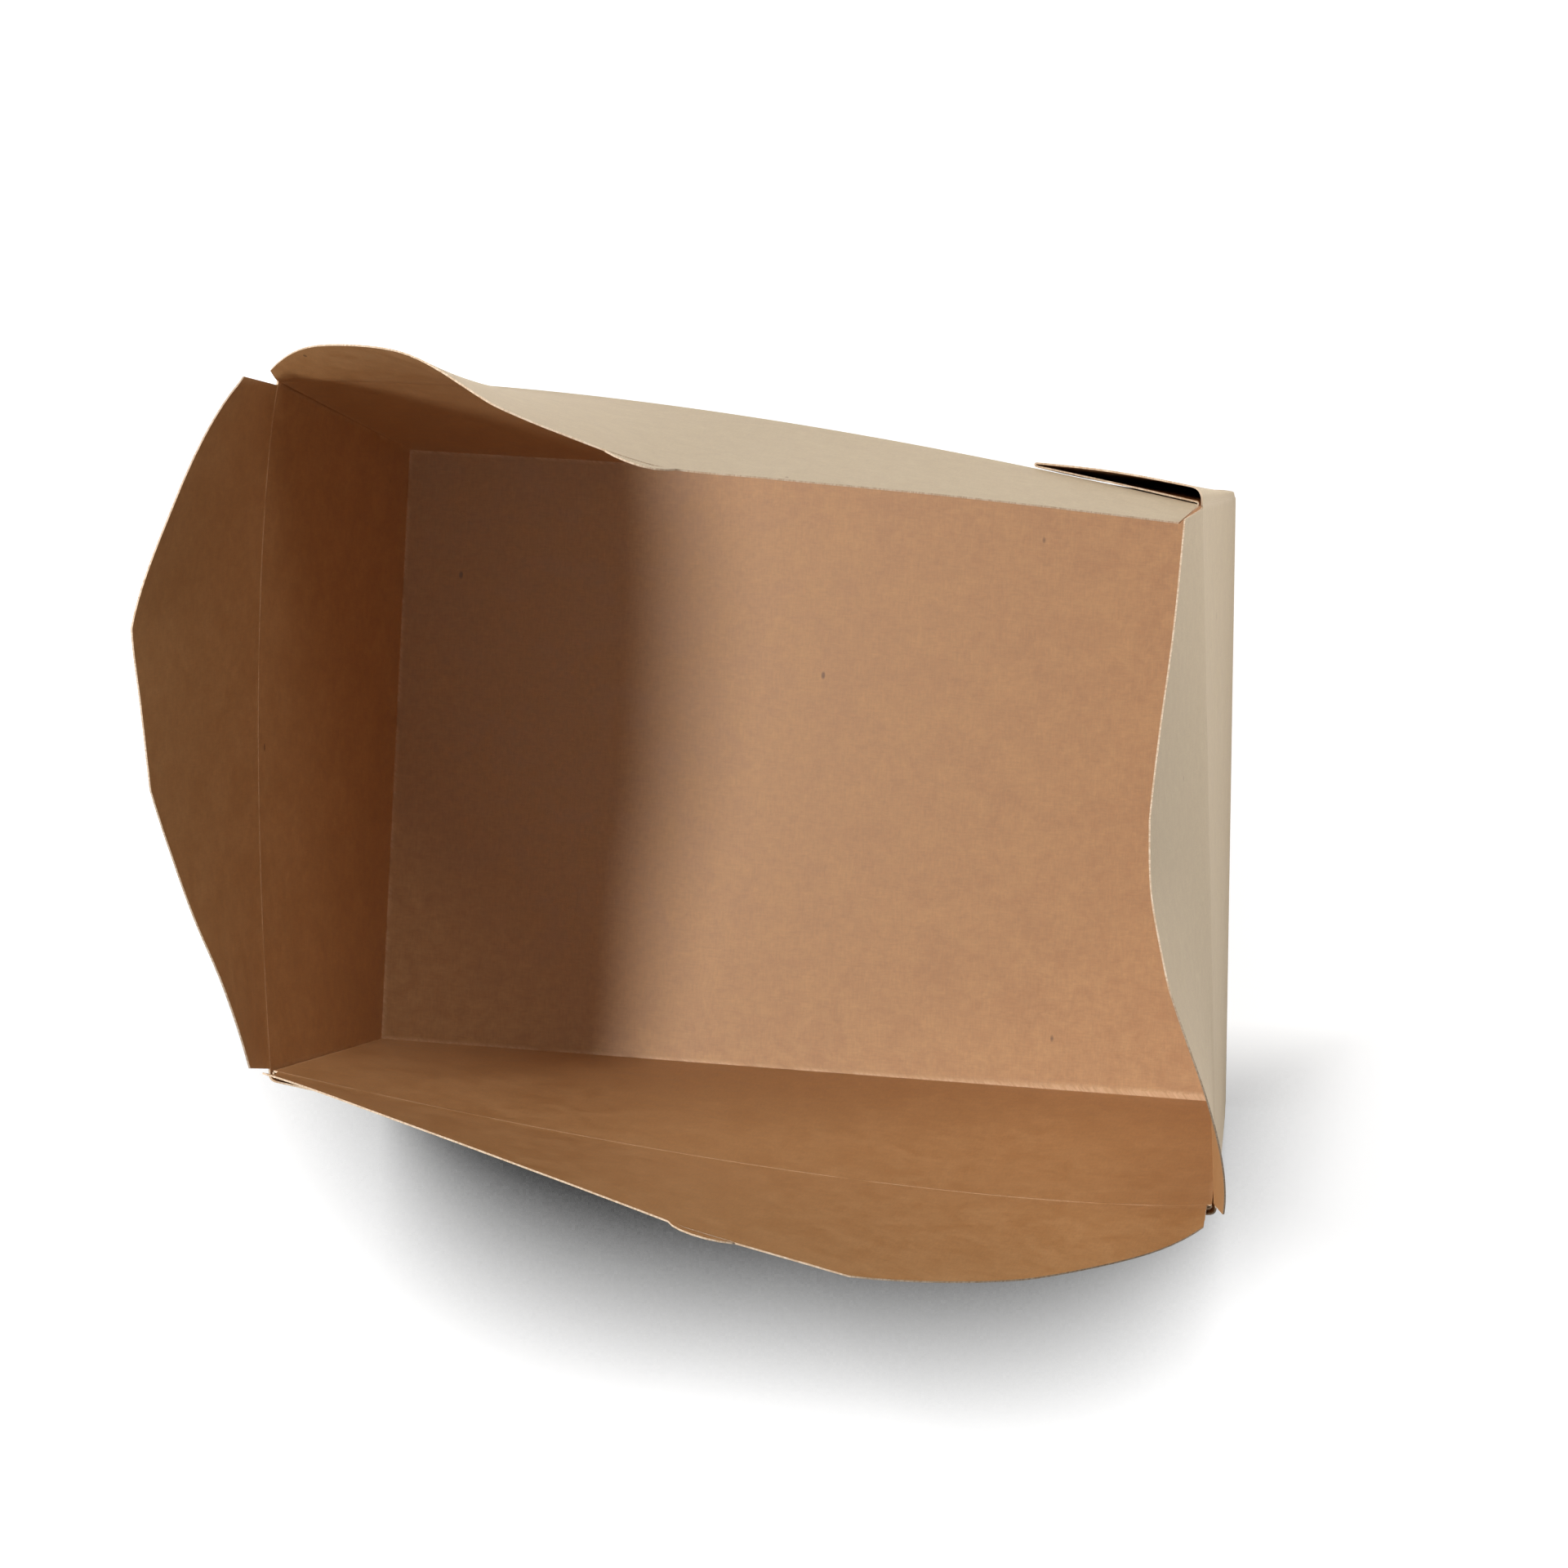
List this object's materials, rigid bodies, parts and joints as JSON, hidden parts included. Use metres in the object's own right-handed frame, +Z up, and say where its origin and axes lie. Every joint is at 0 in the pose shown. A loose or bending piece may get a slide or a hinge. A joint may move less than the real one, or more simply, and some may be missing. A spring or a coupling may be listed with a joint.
{
  "type": "takeaway box",
  "caption": "Fold-top kraft board takeaway box with flared walls, gusseted corners and open creased flaps with lock fingers.",
  "frame": {"origin": "centre of the underside of the base, on the surface it stands on", "axes": "+Z up, +X along the long side, -Y towards the front flap"},
  "size_m": [0.2322, 0.195, 0.1705],
  "materials": {
    "kraft_board": "matt kraft board, paler outside, warmer and faintly greaseproof inside"
  },
  "bodies": {
    "tray": {"tray": "kraft_board"},
    "front_flap": {"front_flap": "kraft_board"},
    "back_flap": {"back_flap": "kraft_board"},
    "left_flap": {"left_flap": "kraft_board"},
    "right_flap": {"right_flap": "kraft_board"}
  },
  "joints": [
    {"name": "front_flap_crease", "type": "hinge", "parent": "tray", "child": "front_flap", "pos_m": [0.11158, -0.0876, 0.09095], "axis": [-0.997, 0.0779, 0], "range_deg": [-83, 97]},
    {"name": "back_flap_crease", "type": "hinge", "parent": "tray", "child": "back_flap", "pos_m": [-0.11158, 0.0876, 0.09095], "axis": [0.997, -0.0779, 0], "range_deg": [-98, 80.5]},
    {"name": "left_flap_crease", "type": "hinge", "parent": "tray", "child": "left_flap", "pos_m": [-0.1123, 0.08736, 0.09045], "axis": [-0.0518, 0.9987, 0], "range_deg": [-112.5, 97.5]},
    {"name": "right_flap_crease", "type": "hinge", "parent": "tray", "child": "right_flap", "pos_m": [0.1123, -0.08736, 0.09045], "axis": [0.0518, -0.9987, 0], "range_deg": [-119, 91]}
  ]
}
